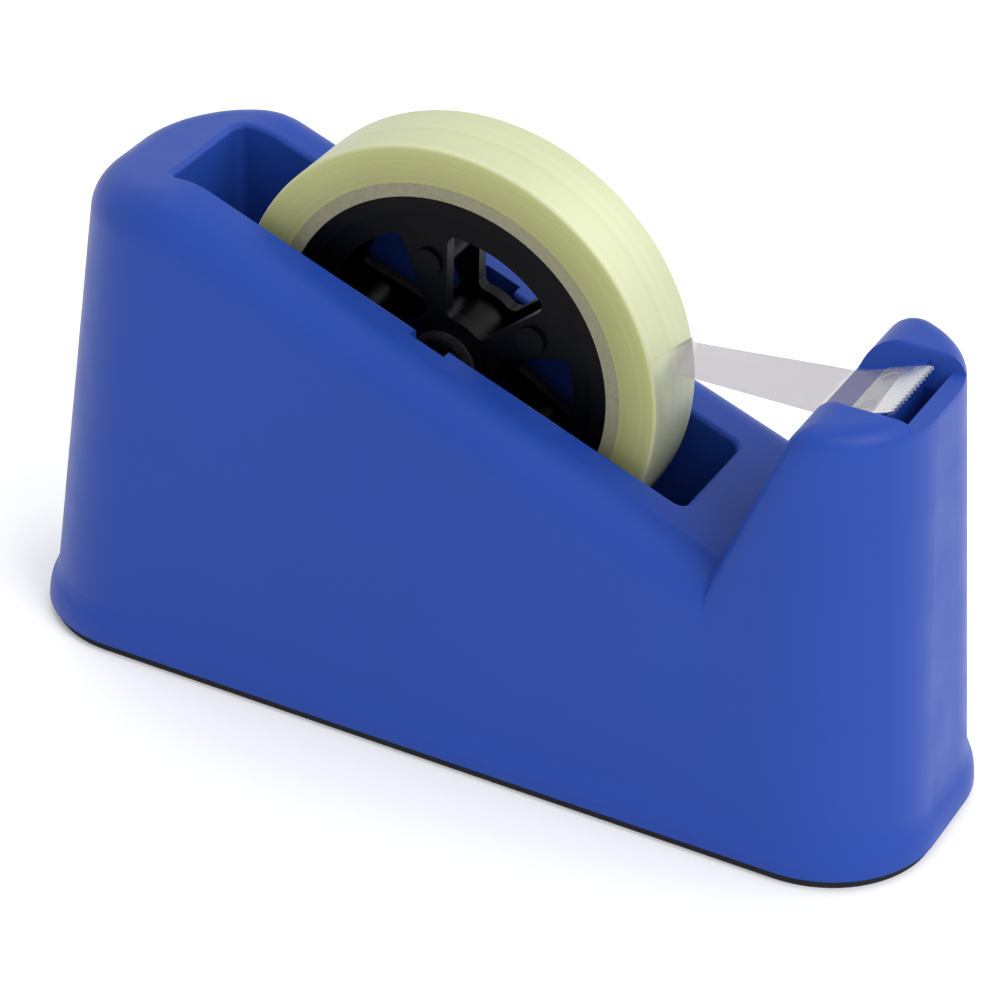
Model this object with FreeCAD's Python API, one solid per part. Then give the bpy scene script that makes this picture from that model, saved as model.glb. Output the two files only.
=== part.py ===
import FreeCAD, Part
import math
import os
from FreeCAD import Vector

# Desk tape dispenser with a weighted one-piece shell, a drop-in spindle and a serrated cutter.
# Frame: +X runs towards the cutter, +Y across the width, +Z up.
# The origin is the middle of the footprint, on the table.

# ---- tape roll and spindle -----------------------------------------------------------------
TAPE_WIDTH = 19.0
TAPE_DEPTH = 8.4               # wound tape on the core, measured outwards
HUB_RADIUS = 38.0
CORE_BORE_CLEARANCE = 0.05
CORE_WALL = 2.95
HUB_SIDE_PROUD = 0.1          # the hub is this much wider than the tape, on each side
HUB_RIM_WALL = 3.2
HUB_SPLIT_GAP = 0.04
HUB_WEB_THICKNESS = 3.0
HUB_WEB_SETBACK = 1.0         # the web lies this far inside the side of the rim
WINDOW_COUNT = 5
WINDOW_ANGLE = 50.0
WINDOW_FIRST_ANGLE = 65.0
WINDOW_CORNER_ROUND = 2.0
WINDOW_FROM_BOSS = 1.6
WINDOW_FROM_RIM = 4.8
AXLE_RADIUS = 4.0
AXLE_GROOVE_CLEARANCE = 0.08
AXLE_END_CLEARANCE = 0.2
AXLE_CHAMFER = 0.6
BUSH_WALL = 2.2
BUSH_RUNNING_CLEARANCE = 0.06
BUSH_FLANGE_WIDTH = 1.4
BUSH_FLANGE_THICKNESS = 1.0
BUSH_HOUSING_WALL = 2.8
CLIP_WIDTH = 2.4              # how far a clip stands out from the axle
CLIP_THICKNESS = 1.0
CLIP_SIDE_CLEARANCE = 0.1
CLIP_GROOVE_DEPTH = 0.8
CLIP_GROOVE_PLAY = 0.04
CLIP_MOUTH_HALF = 2.4
HUB_SCREW_CIRCLE = 23.0
HUB_SCREW_BOSS_WALL = 1.95
HUB_SCREW_RADIUS = 1.25
HUB_SCREW_HEAD_RADIUS = 2.4
HUB_SCREW_HEAD_DEPTH = 1.4
HUB_SCREW_BITE = 4.8          # thread length in the near half of the hub
SCREW_HOLE_PLAY = 0.15

# ---- tape well -----------------------------------------------------------------------------
WELL_FLOOR_HEIGHT = 25.0
WELL_FLOOR_CLEARANCE = 9.8      # from the floor to a full roll
WELL_REAR_CLEARANCE = 14.4
WELL_FRONT_CLEARANCE = 9.0
WELL_SIDE_CLEARANCE = 4.4
WELL_FLOOR_ROUND = 40.0
WELL_WALL = 2.4
WELL_CORNER_ROUND = 2.4         # upright corners of the well
WELL_RIM_ROUND = 1.2            # soft inner edge of the rim
GROOVE_DEPTH = 3.0            # how far each axle groove goes into the wall of the well
GROOVE_SIDE_WALL = 4.0
GROOVE_FLOOR_WALL = 5.0
GROOVE_BACK_WALL = 2.4

# ---- shell, outside form -------------------------------------------------------------------
REAR_SHOULDER = 32.5          # from the rear of the foot to the well
FRONT_FOOT = 58.3             # from the well to the front of the foot
BASE_WIDTH = 65.2
FRONT_CORNER_RADIUS = 24.0      # corners in plan
REAR_END_FLAT = 8.5           # straight part of the rear land between its two corners
SIDE_DRAFT = 0.034            # mm the wall leans in for each mm of height
REAR_DRAFT = 0.108
FRONT_DRAFT = 0.081
EDGE_ROUND = 10.0             # soft outer edge of the land and the rim
REAR_LAND_RISE = 29.9         # heights marked RISE are measured up from the axle
REAR_LAND_SLOPE = 0.16        # dip of the land from its crest towards the rear, mm per mm
REAR_LAND_BLEND = 18.0        # curve over the crest, from the rear land to the falling rim
RIM_FRONT_DROP = 14.0         # the rim at the front of the well is this far under the axle
RIM_SLOPE = 0.377             # fall of the rim, mm per mm
VALLEY_FROM_WELL = 13.3       # the foot of the horn
HORN_REAR_SLOPE = 2.6         # rise of the rear face of the horn, mm per mm
HORN_TOP_RISE = 21.0
HORN_TOP_ROUND = 8.0          # rear corner of the horn, seen from the side
HORN_EDGE_ROUND = 4.6         # soft outer edge of the horn
SKIRT_PROUD = 1.5             # the foot of the shell stands out this far
SKIRT_HEIGHT = 3.4
SKIRT_SLOPE = 4.2             # height over which it runs back into the wall
SKIRT_BLEND = 8.0             # soft curve above and below that slope
WALL = 2.6

# ---- tape platform, cutter and free end ----------------------------------------------------
PLATFORM_RISE = 13.9
PLATFORM_SLOPE = 0.36
PLATFORM_LENGTH = 14.48
PLATFORM_THICKNESS = 7.0
CHANNEL_SIDE_CLEARANCE = 1.7
CHANNEL_FLARE = 2.7           # the channel is wider by this on each side at the top of the horn
CHANNEL_EDGE_ROUND = 1.2      # soft edge between the channel and the top of the horn
SLOT_WIDTH = 5.4
SLOT_DEPTH = 5.1
FRONT_LIP_RISE = 18.0
BLADE_OVERHANG = 0.8
BLADE_LENGTH = 8.8
BLADE_THICKNESS = 0.8
BLADE_SIDE_OVERHANG = 1.0
BLADE_SEAT_PLAY = 0.15
TOOTH_COUNT = 14
TOOTH_LENGTH = 1.4
BLADE_SCREW_FROM_REAR = 2.8
BLADE_SCREW_Y = 6.0
BLADE_SCREW_RADIUS = 1.0
BLADE_SCREW_HEAD_RADIUS = 1.9
BLADE_SCREW_LENGTH = 6.0
PEEL_ANGLE = 13.5             # where the free end leaves the roll, above level
STRIP_THICKNESS = 0.2
STRIP_LIFT = 0.05
STRIP_GRIP = 4.9              # length of the free end that lies on the blade

# ---- base ----------------------------------------------------------------------------------
PAD_THICKNESS = 2.4
PAD_INSET = 1.2
PLATE_THICKNESS = 2.2
PLATE_GAP = 0.3
BASE_SCREW_FROM_END = 28.5
BASE_SCREW_FROM_SIDE = 7.8
BASE_BOSS_RADIUS = 4.8
BASE_BOSS_HEIGHT = 25.4
BASE_BOSS_WEB = 3.0
BASE_SCREW_RADIUS = 1.75
BASE_SCREW_HEAD_RADIUS = 3.4
BASE_SCREW_LENGTH = 14.0
WEIGHT_CORNER_ROUND = 4.0
WEIGHT_GAP = 1.2              # from a ballast block to the screw bosses beside it
MIDDLE_WEIGHT_INSET = 6.0     # each end, from the wall of the well
MIDDLE_WEIGHT_HEADROOM = 4.0
FRONT_WEIGHT_FROM_WELL = 11.8
FRONT_WEIGHT_LENGTH = 29.0
FRONT_WEIGHT_HALF_WIDTH = 13.0
FRONT_WEIGHT_HEIGHT = 42.0
REAR_WEIGHT_FROM_WELL = 4.4
REAR_WEIGHT_LENGTH = 13.6
REAR_WEIGHT_HALF_WIDTH = 12.0
REAR_WEIGHT_HEIGHT = 60.0
WEIGHT_SCREW_RADIUS = 2.0
WEIGHT_SCREW_HEAD_RADIUS = 3.8
WEIGHT_SCREW_LENGTH = 11.0

# ---- places and sizes that follow from the values above ------------------------------------
CORE_INNER_RADIUS = HUB_RADIUS + CORE_BORE_CLEARANCE
CORE_OUTER_RADIUS = CORE_INNER_RADIUS + CORE_WALL
TAPE_OUTER_RADIUS = CORE_OUTER_RADIUS + TAPE_DEPTH
BASE_LENGTH = (REAR_SHOULDER + WELL_REAR_CLEARANCE + 2 * TAPE_OUTER_RADIUS
               + WELL_FRONT_CLEARANCE + FRONT_FOOT)
AXLE_X = -BASE_LENGTH / 2 + REAR_SHOULDER + WELL_REAR_CLEARANCE + TAPE_OUTER_RADIUS
AXLE_HEIGHT = WELL_FLOOR_HEIGHT + WELL_FLOOR_CLEARANCE + TAPE_OUTER_RADIUS
HUB_WIDTH = TAPE_WIDTH + 2 * HUB_SIDE_PROUD
BUSH_RADIUS = AXLE_RADIUS + BUSH_WALL
BUSH_FLANGE_RADIUS = BUSH_RADIUS + BUSH_FLANGE_WIDTH
BUSH_HOUSING_RADIUS = BUSH_RADIUS + BUSH_HOUSING_WALL
WINDOW_INNER_RADIUS = BUSH_HOUSING_RADIUS + WINDOW_FROM_BOSS
WINDOW_OUTER_RADIUS = HUB_RADIUS - HUB_RIM_WALL - WINDOW_FROM_RIM
CLIP_RADIUS = AXLE_RADIUS + CLIP_WIDTH
CLIP_GROOVE_RADIUS = AXLE_RADIUS - CLIP_GROOVE_DEPTH
HUB_SCREW_BOSS_RADIUS = HUB_SCREW_RADIUS + HUB_SCREW_BOSS_WALL
WELL_REAR_X = AXLE_X - TAPE_OUTER_RADIUS - WELL_REAR_CLEARANCE
WELL_FRONT_X = AXLE_X + TAPE_OUTER_RADIUS + WELL_FRONT_CLEARANCE
WELL_HALF_WIDTH = TAPE_WIDTH / 2 + WELL_SIDE_CLEARANCE
REAR_LAND_HEIGHT = AXLE_HEIGHT + REAR_LAND_RISE
RIM_FRONT_HEIGHT = AXLE_HEIGHT - RIM_FRONT_DROP
CREST_X = WELL_FRONT_X - (REAR_LAND_HEIGHT - RIM_FRONT_HEIGHT) / RIM_SLOPE
REAR_CORNER_RADIUS = BASE_WIDTH / 2 - SIDE_DRAFT * REAR_LAND_HEIGHT - REAR_END_FLAT / 2
VALLEY_X = WELL_FRONT_X + VALLEY_FROM_WELL
VALLEY_HEIGHT = RIM_FRONT_HEIGHT - RIM_SLOPE * VALLEY_FROM_WELL
HORN_TOP_HEIGHT = AXLE_HEIGHT + HORN_TOP_RISE
HORN_REAR_TOP_X = VALLEY_X + (HORN_TOP_HEIGHT - VALLEY_HEIGHT) / HORN_REAR_SLOPE
PLATFORM_REAR_HEIGHT = AXLE_HEIGHT + PLATFORM_RISE
PLATFORM_REAR_X = VALLEY_X + (PLATFORM_REAR_HEIGHT - VALLEY_HEIGHT) / HORN_REAR_SLOPE
PLATFORM_FRONT_X = PLATFORM_REAR_X + PLATFORM_LENGTH
CHANNEL_HALF_WIDTH_LOW = TAPE_WIDTH / 2 + CHANNEL_SIDE_CLEARANCE
CHANNEL_HALF_WIDTH_TOP = CHANNEL_HALF_WIDTH_LOW + CHANNEL_FLARE
SLOT_FRONT_X = PLATFORM_FRONT_X + SLOT_WIDTH
SLOT_FLOOR_HEIGHT = PLATFORM_REAR_HEIGHT - SLOT_DEPTH
FRONT_LIP_HEIGHT = AXLE_HEIGHT + FRONT_LIP_RISE
BLADE_FRONT_X = PLATFORM_FRONT_X + BLADE_OVERHANG
BLADE_REAR_X = BLADE_FRONT_X - BLADE_LENGTH
BLADE_HALF_WIDTH = TAPE_WIDTH / 2 + BLADE_SIDE_OVERHANG
BLADE_SCREW_X = BLADE_REAR_X + BLADE_SCREW_FROM_REAR
PLATE_TOP = PAD_THICKNESS + PLATE_THICKNESS
BASE_SCREW_X = BASE_LENGTH / 2 - BASE_SCREW_FROM_END
BASE_SCREW_Y = BASE_WIDTH / 2 - BASE_SCREW_FROM_SIDE

Y_AXIS = Vector(0, 1, 0)
Z_AXIS = Vector(0, 0, 1)


# ---- helpers -------------------------------------------------------------------------------
def rear_x(z):
    return -BASE_LENGTH / 2 + REAR_DRAFT * z


def front_x(z):
    return BASE_LENGTH / 2 - FRONT_DRAFT * z


def half_width(z):
    return BASE_WIDTH / 2 - SIDE_DRAFT * z


def platform_height(x):
    return PLATFORM_REAR_HEIGHT + PLATFORM_SLOPE * (x - PLATFORM_REAR_X)


def land_height(x):
    return REAR_LAND_HEIGHT - REAR_LAND_SLOPE * (CREST_X - x)


def rim_height(x):
    return RIM_FRONT_HEIGHT + RIM_SLOPE * (WELL_FRONT_X - x)


def around_axle(angle, radius):
    """Point (x, z) at an angle above level and a distance from the axle."""
    a = math.radians(angle)
    return AXLE_X + radius * math.cos(a), AXLE_HEIGHT + radius * math.sin(a)


def box(x0, x1, y0, y1, z0, z1):
    return Part.makeBox(x1 - x0, y1 - y0, z1 - z0, Vector(x0, y0, z0))


def cylinder_y(radius, y0, y1, x=AXLE_X, z=AXLE_HEIGHT):
    return Part.makeCylinder(radius, y1 - y0, Vector(x, y0, z), Y_AXIS)


def cylinder_z(radius, x, y, z0, z1):
    return Part.makeCylinder(radius, z1 - z0, Vector(x, y, z0), Z_AXIS)


def cone_z(radius_low, radius_high, x, y, z0, z1):
    return Part.makeCone(radius_low, radius_high, z1 - z0, Vector(x, y, z0), Z_AXIS)


def side_polygon(points, half):
    """Solid with straight sides from (x, z) points, centred on the middle plane."""
    wire = Part.makePolygon([Vector(x, -half, z) for x, z in points + points[:1]])
    return Part.Face(wire).extrude(Vector(0, 2 * half, 0))


def end_polygon(points, x0, x1):
    """Solid with straight sides from (y, z) points, from x0 to x1."""
    wire = Part.makePolygon([Vector(x0, y, z) for y, z in points + points[:1]])
    return Part.Face(wire).extrude(Vector(x1 - x0, 0, 0))


def round_corners(block, rear_radius, front_radius):
    """Round the upright edges of a block, at its rear end and at its front end."""
    middle = block.BoundBox.Center.x
    upright = [e for e in block.Edges if abs(e.Vertexes[0].Z - e.Vertexes[-1].Z) > 0.1]
    block = block.makeFillet(rear_radius, [e for e in upright if e.CenterOfMass.x < middle])
    upright = [e for e in block.Edges if e.CenterOfMass.x > middle and is_corner_line(e)]
    return block.makeFillet(front_radius, upright)


def is_corner_line(edge):
    """True for a straight edge that climbs with the block."""
    rise = abs(edge.Vertexes[0].Z - edge.Vertexes[-1].Z)
    return rise > 0.1 and rise > 0.9 * edge.Length


def rounded_plan(x0, x1, half, rear_radius, front_radius, z0, z1):
    """Upright block with round corners in plan."""
    return round_corners(box(x0, x1, -half, half, z0, z1), rear_radius, front_radius)


def corner_points(before, corner, after, radius):
    """Start, middle and end of the arc that rounds one corner of a polyline."""
    tip = Vector(corner[0], 0, corner[1])
    a = (Vector(before[0], 0, before[1]) - tip).normalize()
    b = (Vector(after[0], 0, after[1]) - tip).normalize()
    half = a.getAngle(b) / 2
    reach = radius / math.tan(half)
    bisector = (a + b).normalize()
    centre = tip + bisector * (radius / math.sin(half))
    return tip + a * reach, centre - bisector * radius, tip + b * reach


def rounded_side_polygon(points, radii, half):
    """Solid from (x, z) points, with the corners named in radii rounded."""
    edges = []
    ends = []
    count = len(points)
    for i in range(count):
        tip = Vector(points[i][0], 0, points[i][1])
        start, end = tip, tip
        if i in radii:
            after = points[(i + 1) % count]
            start, middle, end = corner_points(points[i - 1], points[i], after, radii[i])
            edges.append(Part.Arc(start, middle, end).toShape())
        ends.append((start, end))
    for i in range(count):
        edges.append(Part.makeLine(ends[i][1], ends[(i + 1) % count][0]))
    face = Part.Face(Part.Wire(Part.__sortEdges__(edges)))
    face.translate(Vector(0, -half, 0))
    return face.extrude(Vector(0, 2 * half, 0))


# ---- shell ---------------------------------------------------------------------------------
def leaning_block(z0, z1, inset):
    """The outside walls between two heights, all moved inwards by inset."""
    half = BASE_WIDTH
    side = side_polygon([(rear_x(z0) + inset, z0), (front_x(z0) - inset, z0),
                         (front_x(z1) - inset, z1), (rear_x(z1) + inset, z1)], half)
    low, high = half_width(z0) - inset, half_width(z1) - inset
    end = end_polygon([(-low, z0), (low, z0), (high, z1), (-high, z1)], -BASE_LENGTH, BASE_LENGTH)
    return round_corners(side.common(end), REAR_CORNER_RADIUS - inset, FRONT_CORNER_RADIUS - inset)


def is_top_face(face):
    """True for the faces of the top surface, which all run straight across the width."""
    u0, u1, v0, v1 = face.ParameterRange
    normal = face.normalAt((u0 + u1) / 2, (v0 + v1) / 2)
    return abs(normal.y) < 1e-6 and normal.z > 0.25


def rounded_top(block, edge_round):
    """Round the outline of the top surface."""
    outline = []
    for edge in block.Edges:
        neighbours = [f for f in block.Faces if any(edge.isSame(e) for e in f.Edges)]
        if sum(is_top_face(f) for f in neighbours) == 1:
            outline.append(edge)
    return block.makeFillet(edge_round, outline)


def rim_form(z0, inset):
    """The walls up to the rear land and the falling rim, which runs on through the horn."""
    points = [(-BASE_LENGTH, z0), (-BASE_LENGTH, land_height(-BASE_LENGTH) - inset),
              (CREST_X, REAR_LAND_HEIGHT - inset),
              (BASE_LENGTH / 2, rim_height(BASE_LENGTH / 2) - inset), (BASE_LENGTH / 2, z0)]
    below = rounded_side_polygon(points, {2: REAR_LAND_BLEND}, BASE_WIDTH)
    block = leaning_block(z0, REAR_LAND_HEIGHT + EDGE_ROUND, inset).common(below)
    return rounded_top(block, EDGE_ROUND - inset)


def horn_form(z0, inset):
    """The horn, from below the rounded edge of the rim up to its own top."""
    root = rim_height(BASE_LENGTH / 2) - 2 * EDGE_ROUND
    rear_x_at_root = VALLEY_X - (VALLEY_HEIGHT - root) / HORN_REAR_SLOPE
    points = [(rear_x_at_root + inset, root), (HORN_REAR_TOP_X + inset, HORN_TOP_HEIGHT - inset),
              (BASE_LENGTH, HORN_TOP_HEIGHT - inset), (BASE_LENGTH, root)]
    behind = rounded_side_polygon(points, {1: HORN_TOP_ROUND - inset}, BASE_WIDTH)
    block = leaning_block(z0, REAR_LAND_HEIGHT + EDGE_ROUND, inset).common(behind)
    return rounded_top(block, HORN_EDGE_ROUND - inset)


def form(z0, inset):
    """The outside form of the shell, moved inwards by inset."""
    return rim_form(z0, inset).fuse(horn_form(z0, inset)).removeSplitter()


def well_form(grow):
    """The tape well as a solid, grown outwards by grow."""
    top = REAR_LAND_HEIGHT + EDGE_ROUND
    x0, x1 = WELL_REAR_X - grow, WELL_FRONT_X + grow
    floor = WELL_FLOOR_HEIGHT - grow
    round_radius = WELL_FLOOR_ROUND + grow
    points = [(x0, top), (x0, floor), (x1, floor), (x1, top)]
    half = WELL_HALF_WIDTH + grow
    well = rounded_side_polygon(points, {1: round_radius, 2: round_radius}, half)
    sides = [f for f in well.Faces if abs(f.CenterOfMass.y) > half - 0.01]
    outline = [e for f in sides for e in f.Edges if e.CenterOfMass.z < top - 0.01]
    return well.makeFillet(WELL_CORNER_ROUND + grow, outline)


def soften_rim(body):
    """Round the edge where the well meets the top surface."""
    clear = 0.2
    x0, x1 = WELL_REAR_X - clear, WELL_FRONT_X + clear
    lowest = RIM_FRONT_HEIGHT - WELL_RIM_ROUND
    rim = []
    for edge in body.Edges:
        room = edge.BoundBox
        inside = room.XMin > x0 and room.XMax < x1 and max(-room.YMin, room.YMax) < WELL_HALF_WIDTH + clear
        neighbours = [f for f in body.Faces if any(edge.isSame(e) for e in f.Edges)]
        if inside and room.ZMin > lowest and sum(is_top_face(f) for f in neighbours) == 1:
            rim.append(edge)
    return body.makeFillet(WELL_RIM_ROUND, rim)


def axle_groove_blocks():
    """Thick pads on the outside of the well walls, for the axle grooves."""
    half = WELL_HALF_WIDTH + GROOVE_DEPTH + GROOVE_BACK_WALL
    reach = AXLE_RADIUS + GROOVE_SIDE_WALL
    drop = AXLE_RADIUS + GROOVE_FLOOR_WALL
    return box(AXLE_X - reach, AXLE_X + reach, -half, half, AXLE_HEIGHT - drop, REAR_LAND_HEIGHT)


def axle_grooves():
    """Open-topped grooves that the ends of the axle drop into."""
    radius = AXLE_RADIUS + AXLE_GROOVE_CLEARANCE
    half = WELL_HALF_WIDTH + GROOVE_DEPTH
    seat = cylinder_y(radius, -half, half)
    return seat.fuse(box(AXLE_X - radius, AXLE_X + radius, -half, half, AXLE_HEIGHT, REAR_LAND_HEIGHT))


def channel():
    """The sloping tape channel between the cheeks of the horn, and the slot in front of the cutter."""
    clear = HORN_TOP_HEIGHT + EDGE_ROUND
    start = VALLEY_X
    floor = side_polygon([(start, PLATFORM_REAR_HEIGHT), (PLATFORM_REAR_X, PLATFORM_REAR_HEIGHT),
                          (PLATFORM_FRONT_X, platform_height(PLATFORM_FRONT_X)),
                          (PLATFORM_FRONT_X, SLOT_FLOOR_HEIGHT), (SLOT_FRONT_X, SLOT_FLOOR_HEIGHT),
                          (SLOT_FRONT_X, FRONT_LIP_HEIGHT), (BASE_LENGTH / 2, FRONT_LIP_HEIGHT),
                          (BASE_LENGTH / 2, clear), (start, clear)], BASE_WIDTH)
    return floor.common(channel_section())


def channel_section():
    """Bar with the section of the channel: sides that flare upwards and round over at the top."""
    clear = HORN_TOP_HEIGHT + EDGE_ROUND
    low, high = CHANNEL_HALF_WIDTH_LOW, CHANNEL_HALF_WIDTH_TOP
    rim = high + 2 * CHANNEL_EDGE_ROUND
    points = [(-low, SLOT_FLOOR_HEIGHT), (low, SLOT_FLOOR_HEIGHT), (low, PLATFORM_REAR_HEIGHT),
              (high, HORN_TOP_HEIGHT), (rim, HORN_TOP_HEIGHT), (rim, clear), (-rim, clear),
              (-rim, HORN_TOP_HEIGHT), (-high, HORN_TOP_HEIGHT), (-low, PLATFORM_REAR_HEIGHT)]
    bar = rounded_side_polygon(points, {3: CHANNEL_EDGE_ROUND, 8: CHANNEL_EDGE_ROUND}, BASE_LENGTH)
    bar.rotate(Vector(0, 0, 0), Z_AXIS, 90)
    return bar


def on_platform(x, y, lift):
    """Point on the platform surface, raised square to it by lift."""
    slope = math.atan(PLATFORM_SLOPE)
    return Vector(x - lift * math.sin(slope), y, platform_height(x) + lift * math.cos(slope))


def platform_normal():
    slope = math.atan(PLATFORM_SLOPE)
    return Vector(-math.sin(slope), 0, math.cos(slope))


def blade_screw_places():
    return [(BLADE_SCREW_X, y) for y in (-BLADE_SCREW_Y, BLADE_SCREW_Y)]


def base_screw_places():
    return [(x, y) for x in (-BASE_SCREW_X, 0.0, BASE_SCREW_X) for y in (-BASE_SCREW_Y, BASE_SCREW_Y)]


def platform_block():
    """Thick part of the horn that the platform and the slot are cut into."""
    low = PLATFORM_REAR_HEIGHT - PLATFORM_THICKNESS
    front = SLOT_FRONT_X + WALL
    return side_polygon([(VALLEY_X, low), (front, low - WALL),
                         (front, HORN_TOP_HEIGHT), (VALLEY_X, HORN_TOP_HEIGHT)],
                        CHANNEL_HALF_WIDTH_TOP + WALL)


def cavity():
    """The hollow inside of the shell, open downwards, less the well, its pads and the screw bosses."""
    hollow = form(PAD_THICKNESS - 1, WALL)
    hollow = hollow.cut(well_form(WELL_WALL)).cut(axle_groove_blocks()).cut(platform_block())
    for x, y in base_screw_places():
        hollow = hollow.cut(base_boss(x, y))
    return hollow


def base_boss(x, y):
    """Post for a base screw, joined to the side wall by a web."""
    top = PLATE_TOP + BASE_BOSS_HEIGHT
    wall_y = math.copysign(BASE_WIDTH / 2, y)
    web = box(x - BASE_BOSS_WEB / 2, x + BASE_BOSS_WEB / 2, min(y, wall_y), max(y, wall_y), PLATE_TOP, top)
    return cylinder_z(BASE_BOSS_RADIUS, x, y, PLATE_TOP, top).fuse(web)


def shell():
    body = soften_rim(form(PAD_THICKNESS, 0.0).cut(well_form(0.0)))
    body = with_skirt(body).cut(cavity())
    body = body.cut(axle_grooves()).cut(channel())
    body = body.cut(blade_plate_solid(BLADE_SEAT_PLAY))
    for x, y in blade_screw_places():
        foot = on_platform(x, y, -BLADE_SCREW_LENGTH)
        body = body.cut(Part.makeCylinder(BLADE_SCREW_RADIUS, BLADE_SCREW_LENGTH, foot, platform_normal()))
    for x, y in base_screw_places():
        top = PAD_THICKNESS + BASE_SCREW_LENGTH
        body = body.cut(cylinder_z(BASE_SCREW_RADIUS, x, y, PAD_THICKNESS, top))
    return body.removeSplitter()


def skirt_heights():
    """Underside of the skirt, top of its upright band, and where it meets the wall."""
    top_of_band = PAD_THICKNESS + SKIRT_HEIGHT
    return PAD_THICKNESS, top_of_band, top_of_band + SKIRT_SLOPE


def wall_outline(z, inset):
    """Closed outline of the leaning walls at one height, moved inwards by inset."""
    return leaning_block(0.0, BASE_WIDTH, inset).slice(Z_AXIS, z)[0]


def with_skirt(body):
    """Add the foot of the shell: a band that stands slightly proud and runs softly into the wall."""
    z0, z1, z2 = skirt_heights()
    rings = [wall_outline(z0, -SKIRT_PROUD), wall_outline(z1, -SKIRT_PROUD), wall_outline(z2, 0.0)]
    body = body.fuse(Part.makeLoft(rings, True, True)).removeSplitter()
    bends = [e for e in body.Edges if lies_at(e, z1) or lies_at(e, z2)]
    return body.makeFillet(SKIRT_BLEND, bends)


def lies_at(edge, z):
    """True for an edge that runs level at one height."""
    return max(abs(edge.BoundBox.ZMin - z), abs(edge.BoundBox.ZMax - z)) < 0.05


# ---- cutter --------------------------------------------------------------------------------
def blade_plate_solid(play):
    """Flat plate lying on the slope of the platform, with play added all round for its seat."""
    rear, front = BLADE_REAR_X - play, BLADE_FRONT_X
    half = BLADE_HALF_WIDTH + play
    low = -BLADE_THICKNESS
    high = PLATFORM_THICKNESS if play else 0.0
    corners = [on_platform(rear, 0, low), on_platform(front, 0, low),
               on_platform(front, 0, high), on_platform(rear, 0, high)]
    return side_polygon([(c.x, c.z) for c in corners], half)


def blade():
    plate = blade_plate_solid(0.0)
    pitch = 2 * BLADE_HALF_WIDTH / TOOTH_COUNT
    root_low, root_high = on_platform(BLADE_FRONT_X, 0, -BLADE_THICKNESS), on_platform(BLADE_FRONT_X, 0, 0)
    slope = math.atan(PLATFORM_SLOPE)
    reach = Vector(TOOTH_LENGTH * math.cos(slope), 0, TOOTH_LENGTH * math.sin(slope))
    for i in range(TOOTH_COUNT):
        y0 = -BLADE_HALF_WIDTH + i * pitch
        base = [Vector(root_low.x, y0, root_low.z), Vector(root_low.x, y0 + pitch, root_low.z),
                Vector(root_low.x, y0 + pitch / 2, root_low.z) + reach]
        tooth = Part.Face(Part.makePolygon(base + base[:1])).extrude(root_high - root_low)
        plate = plate.fuse(tooth)
    for x, y in blade_screw_places():
        plate = plate.cut(blade_screw_hole(x, y))
    return plate.removeSplitter()


def blade_screw_hole(x, y):
    """Countersunk hole through the blade."""
    normal = platform_normal()
    radius = BLADE_SCREW_RADIUS + SCREW_HOLE_PLAY
    hole = Part.makeCylinder(radius, 2 * BLADE_THICKNESS, on_platform(x, y, -1.5 * BLADE_THICKNESS), normal)
    sink = Part.makeCone(radius, BLADE_SCREW_HEAD_RADIUS, BLADE_THICKNESS,
                         on_platform(x, y, -BLADE_THICKNESS), normal)
    return hole.fuse(sink)


def blade_screws():
    normal = platform_normal()
    screws = []
    for x, y in blade_screw_places():
        shank = Part.makeCylinder(BLADE_SCREW_RADIUS, BLADE_SCREW_LENGTH,
                                  on_platform(x, y, -BLADE_SCREW_LENGTH), normal)
        head = Part.makeCone(BLADE_SCREW_RADIUS, BLADE_SCREW_HEAD_RADIUS - SCREW_HOLE_PLAY,
                             BLADE_THICKNESS - SCREW_HOLE_PLAY,
                             on_platform(x, y, SCREW_HOLE_PLAY / 2 - BLADE_THICKNESS), normal)
        screws.append(shank.common(below_platform(SCREW_HOLE_PLAY / 2)).fuse(head))
    return Part.makeCompound(screws)


def below_platform(depth):
    """Half space under the platform surface."""
    corners = [on_platform(VALLEY_X, 0, -depth), on_platform(BASE_LENGTH, 0, -depth)]
    points = [(c.x, c.z) for c in corners] + [(BASE_LENGTH, 0.0), (VALLEY_X, 0.0)]
    return side_polygon(points, BASE_WIDTH)


# ---- tape ----------------------------------------------------------------------------------
def ring(outer, inner, y0, y1):
    return cylinder_y(outer, y0, y1).cut(cylinder_y(inner, y0, y1))


def tape_core():
    return ring(CORE_OUTER_RADIUS, CORE_INNER_RADIUS, -TAPE_WIDTH / 2, TAPE_WIDTH / 2)


def tape_roll():
    return ring(TAPE_OUTER_RADIUS, CORE_OUTER_RADIUS, -TAPE_WIDTH / 2, TAPE_WIDTH / 2)


def tape_strip():
    """Free end of the tape: a straight run to the platform, then up the slope onto the blade."""
    leave_x, leave_z = around_axle(PEEL_ANGLE, TAPE_OUTER_RADIUS + STRIP_LIFT)
    end_x = BLADE_REAR_X + STRIP_GRIP
    bend = on_platform(PLATFORM_REAR_X, 0, STRIP_LIFT)
    end = on_platform(end_x, 0, STRIP_LIFT)
    bend_top = on_platform(PLATFORM_REAR_X, 0, STRIP_LIFT + STRIP_THICKNESS)
    end_top = on_platform(end_x, 0, STRIP_LIFT + STRIP_THICKNESS)
    points = [(leave_x, leave_z), (bend.x, bend.z), (end.x, end.z),
              (end_top.x, end_top.z), (bend_top.x, bend_top.z), (leave_x, leave_z + STRIP_THICKNESS)]
    return side_polygon(points, TAPE_WIDTH / 2)


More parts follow.
